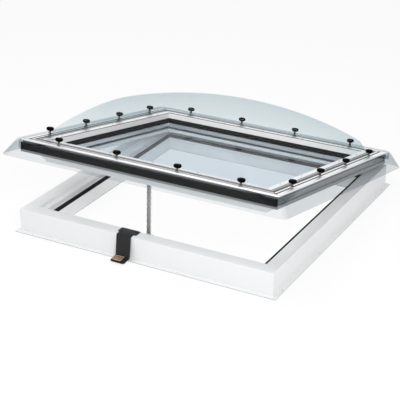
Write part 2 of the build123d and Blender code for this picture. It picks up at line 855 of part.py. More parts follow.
with BuildPart() as chain_bracket:
    with BuildSketch(sash_across.offset(chain_x - bracket_width / 2)):
        with Locations((bracket_face, -sash_depth)):
            Rectangle(bracket_plate, sash_ledge_thickness, align=(Align.MIN, Align.MIN))
    extrude(amount=bracket_width)
    for start in (chain_x + lug_inside, chain_x - lug_outside):
        with BuildSketch(sash_across.offset(start)):
            with Locations((bracket_face, -bracket_pin_drop)):
                Rectangle(pin_from_face, 2 * lug_radius, align=(Align.MIN, Align.CENTER))
            with Locations((mouth_y, -bracket_pin_drop)):
                Circle(lug_radius)
                Circle(head_pin_radius + pin_clearance, mode=Mode.SUBTRACT)
        extrude(amount=lug_thickness)

chain_bracket.part.label = "chain_bracket"
export_step(chain_bracket.part, "parts/chain_bracket.step")

with BuildPart() as chain_head_pin:
    with BuildSketch(sash_across.offset(chain_x - lug_outside)):
        with Locations((mouth_y, -bracket_pin_drop)):
            Circle(head_pin_radius)
    extrude(amount=2 * lug_outside)

chain_head_pin.part.label = "chain_head_pin"
export_step(chain_head_pin.part, "parts/chain_head_pin.step")

# Rain sensor: a bent plate hooked over the front of the kerb, with a bar on the rim
# and a foot in front of the flange that carries the pad
sensor_face = kerb_half + sensor_stand_off
sensor_foot_end = sensor_face + sensor_foot_length
sensor_section = section_plane(kerb_base).offset(-sensor_x)

with BuildPart() as rain_sensor_bracket:
    with BuildSketch(sensor_section):
        with BuildLine():
            FilletPolyline(
                (kerb_half - sensor_bar_end, kerb_height),
                (sensor_face, kerb_height),
                (sensor_face, sensor_foot_height),
                (sensor_foot_end, sensor_foot_height - sensor_foot_drop),
                radius=[1.5, sensor_bend_radius],
            )
            offset(amount=sensor_plate, side=Side.LEFT)
        make_face()
    extrude(amount=sensor_arm_width / 2, both=True)
    with BuildSketch(Plane.XY.offset(kerb_height)):
        with Locations((sensor_x, -kerb_half + (sensor_bar_start + sensor_bar_end) / 2)):
            RectangleRounded(sensor_bar_width, sensor_bar_end - sensor_bar_start, 2)
    extrude(amount=sensor_plate)

rain_sensor_bracket.part.label = "rain_sensor_bracket"
export_step(rain_sensor_bracket.part, "parts/rain_sensor_bracket.step")

foot_slope = atan2(sensor_foot_drop, sensor_foot_length)
foot_direction = Vector(0, -cos(foot_slope), -sin(foot_slope))
foot_normal = Vector(0, -sin(foot_slope), cos(foot_slope))
foot_tip = Vector(sensor_x + sensor_pad_shift, -sensor_foot_end, sensor_foot_height - sensor_foot_drop)
pad_reach = sensor_pad_edge + sensor_pad_length / 2
pad_centre = foot_tip - foot_direction * pad_reach + foot_normal * sensor_plate
pad_plane = Plane(origin=pad_centre, x_dir=(1, 0, 0), z_dir=foot_normal)

with BuildPart() as rain_sensor_pad:
    with BuildSketch(pad_plane):
        RectangleRounded(sensor_pad_width, sensor_pad_length, 2)
    extrude(amount=sensor_pad_thickness)

rain_sensor_pad.part.label = "rain_sensor_pad"
export_step(rain_sensor_pad.part, "parts/rain_sensor_pad.step")
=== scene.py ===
# A skylight for a flat roof: the finish of its kerb, sash, dome and chain opener, the
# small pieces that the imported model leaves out, and the plain studio round it.
# Metres, +Z up, the front towards -Y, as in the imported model.
import bmesh
import bpy
import json
from math import atan2, cos, pi, radians, sin, sqrt, tan
from mathutils import Matrix, Vector


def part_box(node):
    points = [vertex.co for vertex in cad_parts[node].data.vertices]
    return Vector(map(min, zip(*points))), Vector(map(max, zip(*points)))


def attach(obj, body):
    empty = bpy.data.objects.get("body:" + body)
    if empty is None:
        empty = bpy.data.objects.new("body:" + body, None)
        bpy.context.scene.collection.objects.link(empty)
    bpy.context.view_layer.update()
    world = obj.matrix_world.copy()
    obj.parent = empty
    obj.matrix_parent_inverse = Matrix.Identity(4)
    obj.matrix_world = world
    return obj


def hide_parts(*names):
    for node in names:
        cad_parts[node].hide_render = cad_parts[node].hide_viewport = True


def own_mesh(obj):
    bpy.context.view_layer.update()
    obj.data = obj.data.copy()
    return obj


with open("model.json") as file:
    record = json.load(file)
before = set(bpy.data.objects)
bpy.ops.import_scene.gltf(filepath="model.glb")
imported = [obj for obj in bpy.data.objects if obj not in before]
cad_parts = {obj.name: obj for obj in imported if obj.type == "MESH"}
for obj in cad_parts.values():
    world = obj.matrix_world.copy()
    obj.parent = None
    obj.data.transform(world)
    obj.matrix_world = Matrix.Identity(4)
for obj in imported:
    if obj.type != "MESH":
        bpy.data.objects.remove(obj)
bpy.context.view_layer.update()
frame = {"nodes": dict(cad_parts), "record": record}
nodes = frame["nodes"]
joints = {joint["name"]: joint for joint in frame["record"]["behaviour"]["joints"]}

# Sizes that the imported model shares, in metres
MM = 0.001
KERB_HALF = 550 * MM
KERB_HEIGHT = 96 * MM
SASH_HALF = 545 * MM
SASH_TOP_CLOSED = 151 * MM
SLOT_FROM_CENTRE = 524 * MM
KNOB_PITCH = 258 * MM
KNOBS_PER_SIDE = 4
KNOB_BASE = 14.5 * MM
ACRYLIC = 3 * MM
FLANGE_HALF = 565 * MM
SKIRT_HALF = 605 * MM
SKIRT_DEPTH = 62 * MM
SKIRT_CORNER = 25 * MM
CROWN_HALF = 505 * MM
CROWN_CORNER = 95 * MM
CROWN_HEIGHT = 186 * MM
CROWN_RADIUS = 1501.04 * MM
CROWN_LEAN = radians(24)
CHAIN_X = -30 * MM
CHAIN_MOUTH_Y = -438 * MM
CHAIN_MOUTH_Z = 56 * MM
CHAIN_PITCH = 12 * MM
CHAIN_WIDTH = 15 * MM
CHAIN_LINKS = 18
LINK_WIDTH = 9 * MM
PLATE = 1.5 * MM
HEAD_LENGTH = 13 * MM

# The sash as the chain holds it: its own x, y and height above the rails
hinge = joints["sash_hinge"]
open_angle = radians(-hinge["range_deg"][0])
hinge_y, hinge_z = hinge["pos_m"][1], hinge["pos_m"][2]
sash_place = (
    Matrix.Translation((0, hinge_y, hinge_z))
    @ Matrix.Rotation(-open_angle, 4, "X")
    @ Matrix.Translation((0, -hinge_y, SASH_TOP_CLOSED - hinge_z))
)
sash_up = sash_place.to_3x3() @ Vector((0, 0, 1))
sash_level = sash_up.dot(sash_place.translation)
sash_front = sash_place.to_3x3() @ Vector((0, 1, 0))
quarter_turns = [Matrix.Rotation(quarter * pi / 2, 4, "Z") for quarter in range(4)]

# Where a finish changes, and where shade and reflection are painted: on the rails by
# depth below their top and by distance from the middle of the sash (a painted
# reflection on the side, painted shade in the grooves and along a line of the top),
# on the white profiles by height (painted shade at the foot), on the dome by depth
# and along a way across it (a painted reflection of the sky)
RAIL_SIDE_DEPTH = 6 * MM
RAIL_SIDE_SOFTNESS = 0.5 * MM
GROOVE_STARTS = 0.3 * MM
GROOVE_DARKEST = 0.8 * MM
NOSE_INSIDE = 540 * MM
NOSE_SOFTNESS = 1 * MM
PAINTED_SHADE_LINE = 504 * MM
PAINTED_SHADE_LINE_HALF = 8 * MM
PAINTED_SHADE_LINE_SOFTNESS = 0.6 * MM
FOOT_SHADE_HEIGHT = 3 * MM
STEM_ABOVE = 0.1 * MM
STEM_BELOW = 0.3 * MM
SKIRT_TONE_DEPTH = 12 * MM
PAINTED_SKY_WAY = (-0.48, 0.88, 0)
PAINTED_SKY_STARTS = -300 * MM
PAINTED_SKY_DEEPEST = 200 * MM


class Value:
    """A number that changes over a surface. Arithmetic on it adds Math nodes."""

    def __init__(self, finish, socket):
        self.finish = finish
        self.socket = socket

    def __add__(self, other):
        return self.finish.calculate("ADD", self, other)

    def __radd__(self, other):
        return self.finish.calculate("ADD", other, self)

    def __sub__(self, other):
        return self.finish.calculate("SUBTRACT", self, other)

    def __rsub__(self, other):
        return self.finish.calculate("SUBTRACT", other, self)

    def __mul__(self, other):
        return self.finish.calculate("MULTIPLY", self, other)

    def __rmul__(self, other):
        return self.finish.calculate("MULTIPLY", other, self)

    def __pow__(self, other):
        return self.finish.calculate("POWER", self, other)


class NodeTree:
    """The nodes of a material or of the world."""

    def __init__(self, owner):
        owner.use_nodes = True
        self.tree = owner.node_tree

    def add(self, kind, settings=None, output=0, inputs=None):
        """Adds a node with its settings and inputs, and gives one output."""
        node = self.tree.nodes.new(kind)
        for name, value in (settings or {}).items():
            setattr(node, name, value)
        for name, value in (inputs or {}).items():
            self.feed(node.inputs[name], value)
        return Value(self, node.outputs[output])

    def feed(self, socket, value):
        """Links a value to a socket, or sets the socket to a constant."""
        if isinstance(value, Value):
            self.tree.links.new(value.socket, socket)
        else:
            socket.default_value = value

    def calculate(self, operation, first, second=0.0):
        settings = {"operation": operation}
        return self.add("ShaderNodeMath", settings, inputs={0: first, 1: second})


class Finish(NodeTree):
    """A material, with the nodes that make its pattern."""

    def __init__(self, name, constants):
        self.material = bpy.data.materials.new(name)
        super().__init__(self.material)
        self.shader = self.tree.nodes["Principled BSDF"]
        for socket, value in constants.items():
            self.feed(self.shader.inputs[socket], value)

    def place(self, stretch=(1, 1, 1)):
        """Object coordinates, stretched along an axis where a grain runs."""
        coordinates = self.add("ShaderNodeTexCoord", output="Object")
        return self.add("ShaderNodeMapping", inputs={"Vector": coordinates, "Scale": stretch})

    def along(self, direction):
        """How far a point lies along a direction."""
        settings = {"operation": "DOT_PRODUCT"}
        inputs = {0: self.add("ShaderNodeTexCoord", output="Object"), 1: tuple(direction)}
        return self.add("ShaderNodeVectorMath", settings, output="Value", inputs=inputs)

    def depth(self):
        """How far a point lies below the top of the rails of the open sash."""
        return sash_level - self.along(sash_up)

    def noise(self, place, scale, detail, roughness=0.55):
        inputs = {"Vector": place, "Scale": scale, "Detail": detail, "Roughness": roughness}
        return self.add("ShaderNodeTexNoise", inputs=inputs)

    def step(self, value, low, high):
        """0 below low, 1 above high, straight between."""
        inputs = {"Value": value, "From Min": low, "From Max": high}
        return self.add("ShaderNodeMapRange", {"clamp": True}, inputs=inputs)

    def blend(self, amount, first, second):
        """The first colour at 0 and the second at 1."""
        inputs = {"Factor": amount, "A": first, "B": second}
        return self.add("ShaderNodeMix", {"data_type": "RGBA"}, output="Result", inputs=inputs)

    def tint(self, amount, dark, light):
        """A colour between dark and light."""
        return self.blend(amount, (*dark, 1), (*light, 1))

    def bump(self, height, strength, distance):
        inputs = {"Height": height, "Strength": strength, "Distance": distance}
        return self.add("ShaderNodeBump", inputs=inputs)

    def paint(self, colour, roughness, normal=None, metallic=None):
        """Feeds what changes over the surface to the shader."""
        chosen = {
            "Base Color": colour,
            "Roughness": roughness,
            "Normal": normal,
            "Metallic": metallic,
        }
        for name, value in chosen.items():
            if value is not None:
                self.feed(self.shader.inputs[name], value)
        return self.material

    def mix_shaders(self, share, first, second):
        """The first shader at 0 and the second at 1."""
        return self.add("ShaderNodeMixShader", inputs={0: share, 1: first, 2: second})

    def show(self, shader):
        """Makes a shader the one that the surface shows."""
        self.feed(self.tree.nodes["Material Output"].inputs["Surface"], shader)
        return self.material


def darker(shade, share):
    return tuple(share * part for part in shade)


def white_plastic(name, dusty, clean):
    """Welded window profile: glossy white, with a very faint orange peel and dust,
    and a thin dark line of painted shade at its foot, where it stands on the floor."""
    constants = {"Specular IOR Level": 0.45, "Coat Weight": 0.15, "Coat Roughness": 0.2}
    finish = Finish(name, constants)
    place = finish.place()
    cloud = finish.noise(place, 3.0, 4.0)
    peel = finish.noise(place, 260.0, 2.0)
    dust = finish.noise(place, 38.0, 5.0)
    amount = 0.75 * cloud + 0.25 * dust
    colour = finish.tint(amount, dusty, clean)
    # Painted shade: the lowest few millimetres go dark grey, as a contact shadow on the floor
    foot = finish.step(finish.along((0, 0, 1)), FOOT_SHADE_HEIGHT, FOOT_SHADE_HEIGHT / 2)
    colour = finish.blend(foot, colour, (0.42, 0.43, 0.44, 1))
    roughness = 0.26 + 0.16 * dust
    return finish.paint(colour, roughness, finish.bump(peel, 0.05, 0.0004))


def aluminium(name, stretch, shade, side=None, across=None):
    """Anodised extrusion with fine die lines along its length. A rail has a darker
    side below the nose, partly its own grey and partly a painted reflection of the dark
    ground, and painted shade: dark groove walls and a dark line along the top."""
    finish = Finish(name, {"Specular IOR Level": 0.5})
    place = finish.place(stretch)
    lines = finish.noise(place, 9.0, 5.0, 0.7)
    cloud = finish.noise(finish.place(), 5.0, 3.0)
    amount = 0.6 * lines + 0.4 * cloud
    colour = finish.tint(amount, darker(shade, 0.90), shade)
    metal = 0.85 + 0.1 * cloud
    if side:
        depth = finish.depth()
        soft = RAIL_SIDE_SOFTNESS
        # Painted reflection: the side below the nose darkens, partly its own grey and partly the
        # dark ground that it reflects
        below = finish.step(depth, RAIL_SIDE_DEPTH - soft, RAIL_SIDE_DEPTH + soft)
        colour = finish.blend(below, colour, finish.tint(amount, darker(side, 0.82), side))
        from_middle = finish.along(across) - across.dot(sash_place.translation)
        from_middle = finish.calculate("ABSOLUTE", from_middle)
        # Painted shade: the walls of the grooves inside the nose, and a band along the top that
        # lies in shade, go near black and lose their metal
        groove_shade = finish.step(depth, GROOVE_STARTS, GROOVE_DARKEST)
        groove_shade = groove_shade * finish.step(from_middle, NOSE_INSIDE + NOSE_SOFTNESS, NOSE_INSIDE)
        off_line = finish.calculate("ABSOLUTE", from_middle - PAINTED_SHADE_LINE)
        line = finish.step(off_line, PAINTED_SHADE_LINE_HALF + PAINTED_SHADE_LINE_SOFTNESS, PAINTED_SHADE_LINE_HALF)
        line = finish.calculate("MAXIMUM", groove_shade, line)
        colour = finish.blend(line, colour, (0.05, 0.05, 0.053, 1))
        metal = metal - metal * line
    roughness = 0.26 + 0.18 * lines
    normal = finish.bump(lines, 0.12, 0.0003)
    return finish.paint(colour, roughness, normal, metal)


def black_rubber():
    """Extruded gasket: matt, slightly powdery, with fine lines."""
    finish = Finish("black_gasket", {"Specular IOR Level": 0.15})
    place = finish.place()
    powder = finish.noise(place, 70.0, 4.0)
    grain = finish.noise(place, 900.0, 2.0)
    colour = finish.tint(powder, (0.005, 0.0055, 0.006), (0.018, 0.019, 0.020))
    return finish.paint(colour, 0.5 + 0.25 * powder, finish.bump(grain, 0.2, 0.0002))


def black_plastic(name, base, gloss, shine=0.5, stem=None):
    """Moulded black plastic with a fine spark-eroded grain and handled edges, and
    a lighter stem below the knobs where one is named."""
    finish = Finish(name, {"Specular IOR Level": shine})
    place = finish.place()
    grain = finish.noise(place, 1400.0, 2.0)
    wear = finish.noise(place, 45.0, 5.0)
    colour = finish.tint(wear, darker(base, 0.6), base)
    if stem:
        lower = finish.step(finish.depth(), -KNOB_BASE - STEM_ABOVE, -KNOB_BASE + STEM_BELOW)
        colour = finish.blend(lower, colour, finish.tint(wear, darker(stem, 0.7), stem))
    return finish.paint(colour, gloss + 0.2 * wear, finish.bump(grain, 0.15, 0.0002))


def let_light_pass(finish, seen, passing, *kinds):
    """Shows a clear body to the eye and lets the light on to what is under it."""
    rays = finish.add("ShaderNodeLightPath", output="Is Shadow Ray")
    for kind in kinds:
        rays = rays + finish.add("ShaderNodeLightPath", output=kind)
    return finish.show(finish.mix_shaders(rays, seen, passing))


def film(finish, share, tone, other_tone):
    """A clear film, whose tone goes from the first to the other."""
    films = []
    for shade in (tone, other_tone):
        films.append(finish.add("ShaderNodeBsdfTransparent", inputs={"Color": (*shade, 1)}))
    return finish.mix_shaders(share, *films)


def dome_acrylic():
    """Clear acrylic: a faint tone that deepens towards the left and the back, a painted
    reflection of the sky set by position, another down the skirt, and a thin gloss over it."""
    finish = Finish("dome_acrylic", {"Metallic": 1.0})
    haze = finish.noise(finish.place(), 4.0, 3.0)
    white = finish.tint(haze, (0.92, 0.95, 0.96), (0.98, 1.0, 1.0))
    finish.paint(white, 0.03 + 0.05 * haze)
    low_angle = finish.add("ShaderNodeLayerWeight", output="Facing", inputs={"Blend": 0.5})
    skirt = finish.step(finish.depth(), 0.0, SKIRT_TONE_DEPTH)
    # Painted reflection of the sky: the crown's tone deepens along a fixed way, towards the left
    # and the back
    sky = finish.step(finish.along(PAINTED_SKY_WAY), PAINTED_SKY_STARTS, PAINTED_SKY_DEEPEST)
    sky = finish.calculate("MAXIMUM", sky, 0.8 * finish.step(low_angle, 0.85, 0.97))
    crown_film = film(finish, sky, (0.985, 0.988, 0.990), (0.868, 0.900, 0.910))
    slant = finish.step(low_angle, 0.1, 0.4)
    skirt_film = film(finish, slant, (0.930, 0.945, 0.950), (0.830, 0.850, 0.860))
    tone = finish.mix_shaders(skirt, crown_film, skirt_film)
    shine = 0.004 + 0.03 * low_angle ** 5.0
    mirror = Value(finish, finish.shader.outputs[0])
    seen = finish.mix_shaders(shine, tone, mirror)
    passing = film(finish, skirt, (1, 1, 1), (0.76, 0.78, 0.79))
    return let_light_pass(finish, seen, passing, "Is Diffuse Ray", "Is Glossy Ray")


def window_glass(name, tone):
    """Float glass with a slight blue cast and a breath of dust."""
    finish = Finish(name, {"Transmission Weight": 1.0, "IOR": 1.03})
    dust = finish.noise(finish.place(), 6.0, 4.0)
    colour = finish.tint(dust, darker(tone, 0.97), tone)
    finish.paint(colour, finish.step(dust, 0.5, 1.0) * 0.03)
    pane = Value(finish, finish.shader.outputs[0])
    clear = finish.add("ShaderNodeBsdfTransparent", inputs={"Color": (1, 1, 1, 1)})
    return let_light_pass(finish, pane, clear, "Is Diffuse Ray")


def zinc_steel(name, base):
    """Zinc-plated pressed steel with faint spangle and scuffs."""
    finish = Finish(name, {"Specular IOR Level": 0.5})
    place = finish.place()
    inputs = {"Vector": place, "Scale": 420.0}
    spangle = finish.add("ShaderNodeTexVoronoi", output="Distance", inputs=inputs)
    scuff = finish.noise(place, 160.0, 5.0)
    colour = finish.tint(0.5 * spangle + 0.6 * scuff, darker(base, 0.72), base)
    normal = finish.bump(scuff, 0.1, 0.0002)
    return finish.paint(colour, 0.3 + 0.25 * scuff, normal, 0.9 + 0.1 * spangle)


def housing_paint():
    """Powder-coated light grey opener housing."""
    finish = Finish("opener_housing", {"Specular IOR Level": 0.5})
    place = finish.place()
    texture = finish.noise(place, 1100.0, 2.0)
    cloud = finish.noise(place, 12.0, 3.0)
    colour = finish.tint(cloud, (0.60, 0.61, 0.62), (0.68, 0.69, 0.70))
    return finish.paint(colour, 0.42 + 0.12 * cloud, finish.bump(texture, 0.2, 0.0003))


def copper(name, base):
    """Bare copper that has dulled unevenly."""
    finish = Finish(name, {"Specular IOR Level": 0.5})
    place = finish.place()
    tarnish = finish.noise(place, 90.0, 5.0)
    colour = finish.tint(finish.step(tarnish, 0.3, 0.7), darker(base, 0.8), base)
    normal = finish.bump(tarnish, 0.08, 0.0002)
    return finish.paint(colour, 0.3 + 0.3 * tarnish, normal, 0.25 + 0.2 * tarnish)


def sealant():
    """Dark edge seal and packers of the glass unit."""
    finish = Finish("dark_sealant", {"Specular IOR Level": 0.35})
    smear = finish.noise(finish.place(), 60.0, 4.0)
    colour = finish.tint(smear, (0.02, 0.02, 0.02), (0.06, 0.06, 0.06))
    return finish.paint(colour, 0.45 + 0.2 * smear, finish.bump(smear, 0.15, 0.0004))


profile_white = white_plastic("white_profile", (0.80, 0.81, 0.815), (0.87, 0.875, 0.88))
# The beads get a lighter copy of the white profile: painted light for faces that lie in the
# dome's shade
bead_white_painted_light = white_plastic("white_bead", (0.90, 0.91, 0.91), (0.96, 0.965, 0.965))
# The front rail's top is a darker copy of the other rails' finish: painted shade
rail_top, front_top_painted_shade, rail_side_grey_and_painted_reflection = (0.92, 0.93, 0.94), (0.78, 0.79, 0.80), (0.38, 0.39, 0.40)
lines_across, lines_along = (1, 240, 240), (240, 1, 240)
sash_right = Vector((1, 0, 0))
rail_across = aluminium("rail_die_lines_across", lines_across, rail_top, rail_side_grey_and_painted_reflection, sash_front)
rail_front = aluminium("rail_die_lines_front", lines_across, front_top_painted_shade, rail_side_grey_and_painted_reflection, sash_front)
rail_along = aluminium("rail_die_lines_along", lines_along, rail_top, rail_side_grey_and_painted_reflection, sash_right)
spacer_metal = aluminium("spacer_metal", (1, 1, 200), (0.80, 0.81, 0.82))
gasket_black = black_rubber()
strip_black = black_plastic("strip_black", (0.014, 0.015, 0.014), 0.42, 0.2)
knob_black = black_plastic("knob_black", (0.003, 0.003, 0.003), 0.45, 0.02, (0.16, 0.16, 0.165))
sensor_black = black_plastic("sensor_black", (0.014, 0.014, 0.015), 0.34, 0.3)
dome_clear = dome_acrylic()
glass_clear = window_glass("window_glass", (0.815, 0.865, 0.900))
steel_zinc = zinc_steel("zinc_steel", (0.50, 0.51, 0.52))
chain_steel = zinc_steel("chain_steel", (0.60, 0.60, 0.605))
steel_screw = zinc_steel("screw_steel", (0.30, 0.31, 0.32))
grey_paint = housing_paint()
pad_copper = copper("pad_copper", (0.92, 0.62, 0.38))
seal_dark = sealant()

node_finishes = {
    "kerb_frame": profile_white,
    "kerb_gasket": gasket_black,
    "actuator_housing": grey_paint,
    "actuator_end_caps": strip_black,
    "chain_guide": strip_black,
    "chain_head": steel_zinc,
    "rain_sensor_pad": strip_black,
    "hinge_kerb_leaf_left": steel_zinc,
    "hinge_kerb_leaf_right": steel_zinc,
    "hinge_pin_left": steel_zinc,
    "hinge_pin_right": steel_zinc,
    "hinge_sash_leaf_left": steel_zinc,
    "hinge_sash_leaf_right": steel_zinc,
    "sash_frame": profile_white,
    "sash_rail_front": rail_front,
    "sash_rail_back": rail_across,
    "sash_rail_left": rail_along,
    "sash_rail_right": rail_along,
    "rail_corner_keys": strip_black,
    "glazing_bead_front": bead_white_painted_light,
    "glazing_bead_back": bead_white_painted_light,
    "glazing_bead_left": bead_white_painted_light,
    "glazing_bead_right": bead_white_painted_light,
    "glazing_gasket": gasket_black,
    "outer_pane": glass_clear,
    "inner_pane": glass_clear,
    "spacer_bar": spacer_metal,
    "edge_seal": seal_dark,
    "glazing_tape": seal_dark,
    "setting_blocks": seal_dark,
    "front_seal_strip": strip_black,
    "dome_seal": gasket_black,
    "knob_bolts": steel_zinc,
    "chain_bracket": steel_zinc,
    "chain_head_pin": steel_zinc,
}
for name, finish in node_finishes.items():
    for material_slot in nodes[name].material_slots:
        material_slot.material = finish


def begin(piece):
    """Opens a new piece in edit mode with nothing selected."""
    bpy.context.view_layer.objects.active = piece
    bpy.ops.object.mode_set(mode="EDIT")
    bpy.ops.mesh.select_all(action="DESELECT")


def pick(piece, kind, test):
    """Selects only those faces, edges or vertices that pass the test."""
    bpy.ops.mesh.select_mode(type={"faces": "FACE", "edges": "EDGE", "verts": "VERT"}[kind])
    bpy.ops.mesh.select_all(action="DESELECT")
    mesh = bmesh.from_edit_mesh(piece.data)
    for element in getattr(mesh, kind):
        if test(element):
            element.select_set(True)
    bmesh.update_edit_mesh(piece.data)


def middle(edge):
    """The point halfway along an edge."""
    return (edge.verts[0].co + edge.verts[1].co) / 2


def end(piece, angle=35):
    """Leaves edit mode and smooths the faces that meet at less than the angle."""
    bpy.ops.object.mode_set(mode="OBJECT")
    bpy.ops.object.select_all(action="DESELECT")
    piece.select_set(True)
    bpy.context.view_layer.objects.active = piece
    bpy.ops.object.shade_smooth_by_angle(angle=radians(angle))


def block(width, length, height):
    """A block round the origin, for a piece to start from."""
    bpy.ops.object.select_all(action="DESELECT")
    bpy.ops.mesh.primitive_cube_add(size=1, location=(0, 0, 0))
    piece = bpy.context.object
    piece.scale = (width, length, height)
    bpy.ops.object.transform_apply(location=False, rotation=False, scale=True)
    return piece


def drum(sides, radius, height):
    """A cylinder round the origin, for a piece to start from."""
    bpy.ops.object.select_all(action="DESELECT")
    size = {"vertices": sides, "radius": radius, "depth": height}
    bpy.ops.mesh.primitive_cylinder_add(location=(0, 0, 0), **size)
    return bpy.context.object


def sheet(size):
    """A flat square round the origin, for a piece to start from."""
    bpy.ops.object.select_all(action="DESELECT")
    bpy.ops.mesh.primitive_plane_add(size=size, location=(0, 0, 0))
    return bpy.context.object


def thicken(piece, thickness, offset, even=False):
    """Gives the sheet in edit mode its wall."""
    bpy.ops.object.mode_set(mode="OBJECT")
    wall = piece.modifiers.new("wall", "SOLIDIFY")
    wall.thickness = thickness
    wall.offset = offset
    wall.use_even_offset = even
    bpy.ops.object.modifier_apply(modifier="wall")


def extrude(step):
    """Draws what is selected out by a step."""
    bpy.ops.mesh.extrude_region_move(TRANSFORM_OT_translate={"value": step})


def widen(share, height):
    """Resizes what is selected in x and y, at a height."""
    bpy.ops.transform.resize(value=(share, share, 1), center_override=(0, 0, height))


def fasten(piece, name, place, body, slot, finish, *replaced):
    """Puts a finished piece's place into its mesh and joins it to its body, in
    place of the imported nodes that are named."""
    piece.data.transform(place @ piece.matrix_world)
    piece.matrix_world = Matrix.Identity(4)
    piece.name = name
    piece.data.name = name
    piece.data.materials.clear()
    piece.data.materials.append(finish)
    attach(piece, body)
    if replaced:
        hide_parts(*replaced)


def copy_of(piece):
    """A copy with its own mesh."""
    twin = piece.copy()
    twin.data = piece.data.copy()
    bpy.context.collection.objects.link(twin)
    return twin


def joined(pieces):
    """Several pieces made one."""
    bpy.ops.object.select_all(action="DESELECT")
    for piece in pieces:
        piece.select_set(True)
    bpy.context.view_layer.objects.active = pieces[0]
    bpy.ops.object.join()
    return pieces[0]


def drop(piece):
    """Takes away a pattern or a cutter that has done its work."""
    bpy.data.objects.remove(piece, do_unlink=True)


# Dome: rings of a rounded square, drawn up the skirt, over the flange and in over
# the crown, whose height follows a shallow sphere between leaning sides
SKIRT_EDGE_RADIUS = 7 * MM
FOOT_RADIUS = 7 * MM
CROWN_BLEND = 46 * MM
CROWN_RINGS = 44
RINGS_TIGHTEN = 1.7  # towards the foot of the crown
EDGE_STEPS = 6
FLANGE_MARGIN = 18 * MM
CROWN_MARGIN = 4 * MM
SIDE_CUTS = 27
CORNER_REACH = 1.6 * SKIRT_CORNER
CORNER_STEPS = 10
SHEET_WALL = ACRYLIC - 0.4 * MM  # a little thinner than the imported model's acrylic


def crown_rise(x, y):
    """Height of the crown above the flange."""
    over_x = max(abs(x) - (CROWN_HALF - CROWN_CORNER), 0)
    over_y = max(abs(y) - (CROWN_HALF - CROWN_CORNER), 0)
    inside = CROWN_CORNER - sqrt(over_x ** 2 + over_y ** 2)
    if over_x == 0 or over_y == 0:
        inside = CROWN_HALF - max(abs(x), abs(y))
    inside = max(inside, 0)
    side = (sqrt(inside ** 2 + FOOT_RADIUS ** 2) - FOOT_RADIUS) / tan(CROWN_LEAN)
    drop_from_top = CROWN_RADIUS - sqrt(CROWN_RADIUS ** 2 - x ** 2 - y ** 2)
    cap = CROWN_HEIGHT - drop_from_top
    share = min(max(0.5 + 0.5 * (cap - side) / CROWN_BLEND, 0), 1)
    return cap * (1 - share) + side * share - CROWN_BLEND * share * (1 - share)


def dome_rings():
    """Half width and height of each ring, from the lower edge of the skirt inwards."""
    flare = SKIRT_HALF - FLANGE_HALF
    slope = atan2(SKIRT_DEPTH + ACRYLIC, flare)
    tangent = SKIRT_EDGE_RADIUS * tan(slope / 2)
    rings = []
    for share in (0, 0.05, 0.35, 0.7):
        rings.append((SKIRT_HALF - share * flare, -SKIRT_DEPTH + share * (SKIRT_DEPTH + ACRYLIC)))
    for turn in range(EDGE_STEPS + 1):
        angle = slope * (1 - turn / EDGE_STEPS)
        across = FLANGE_HALF - tangent + SKIRT_EDGE_RADIUS * sin(angle)
        rings.append((across, ACRYLIC - SKIRT_EDGE_RADIUS * (1 - cos(angle))))
    rings.append((FLANGE_HALF - FLANGE_MARGIN, ACRYLIC))
    rings.append((CROWN_HALF + FLANGE_MARGIN, ACRYLIC))
    rings.append((CROWN_HALF + CROWN_MARGIN, ACRYLIC))
    for ring in range(CROWN_RINGS):
        share = ring / CROWN_RINGS
        rings.append((CROWN_HALF * (1 - share ** RINGS_TIGHTEN), ACRYLIC))
    return rings


def make_dome():
    """The dome as one smooth sheet with its wall."""
    rings = dome_rings()
    first_half, first_level = rings[0]
    piece = sheet(2 * first_half)
    begin(piece)
    bpy.ops.mesh.select_all(action="SELECT")
    rounding = {"offset": CORNER_REACH, "offset_type": "OFFSET", "segments": CORNER_STEPS}
    bpy.ops.mesh.bevel(affect="VERTICES", **rounding)
    pick(piece, "edges", lambda edge: edge.calc_length() > SKIRT_HALF)
    bpy.ops.mesh.subdivide(number_cuts=SIDE_CUTS)
    bpy.ops.mesh.select_all(action="SELECT")
    bpy.ops.mesh.delete(type="ONLY_FACE")
    bpy.ops.mesh.select_mode(type="EDGE")
    bpy.ops.mesh.select_all(action="SELECT")
    bpy.ops.transform.translate(value=(0, 0, first_level))
    for (half, level), (last_half, last_level) in zip(rings[1:], rings):
        rise = (0, 0, level - last_level)
        bpy.ops.mesh.extrude_edges_move(TRANSFORM_OT_translate={"value": rise})
        widen(half / last_half, level)
    bpy.ops.mesh.edge_face_add()
    bpy.ops.mesh.poke()
    bpy.ops.mesh.select_all(action="SELECT")
    bpy.ops.mesh.normals_make_consistent(inside=False)
    mesh = bmesh.from_edit_mesh(piece.data)
    for vertex in mesh.verts:
        if abs(vertex.co.z - ACRYLIC) < 0.01 * MM:
            vertex.co.z = ACRYLIC + crown_rise(vertex.co.x, vertex.co.y)
    bmesh.update_edit_mesh(piece.data)
    mesh.normal_update()
    near_top = [face for face in mesh.faces if face.calc_center_median().xy.length < 0.1]
    if min(face.normal.z for face in near_top) < 0:
        bpy.ops.mesh.flip_normals()
    thicken(piece, SHEET_WALL, -1, even=True)
    end(piece, 40)
    fasten(piece, "dome_sheet", sash_place, "sash", "clear_acrylic", dome_clear, "dome")


make_dome()

# Knobs: a head with a domed top and a drawn-in underside, on a slim stem and a
# washer, modelled once and copied
KNOB_RADIUS = 15 * MM
KNOB_HEIGHT = 14 * MM
KNOB_TAPER = 4 * MM
KNOB_FOOT_RADIUS = 10 * MM
KNOB_STEM_RADIUS = 4 * MM
WASHER_TOP = 4.2 * MM
WASHER_RADIUS = 7 * MM
KNOB_SIDES = 36
KNOB_TOP_ROUND = 5.5 * MM
KNOB_EDGE_ROUND = 1.5 * MM
KNOB_DISH = 0.5 * MM
KNOB_DISH_EDGE = 2.5 * MM


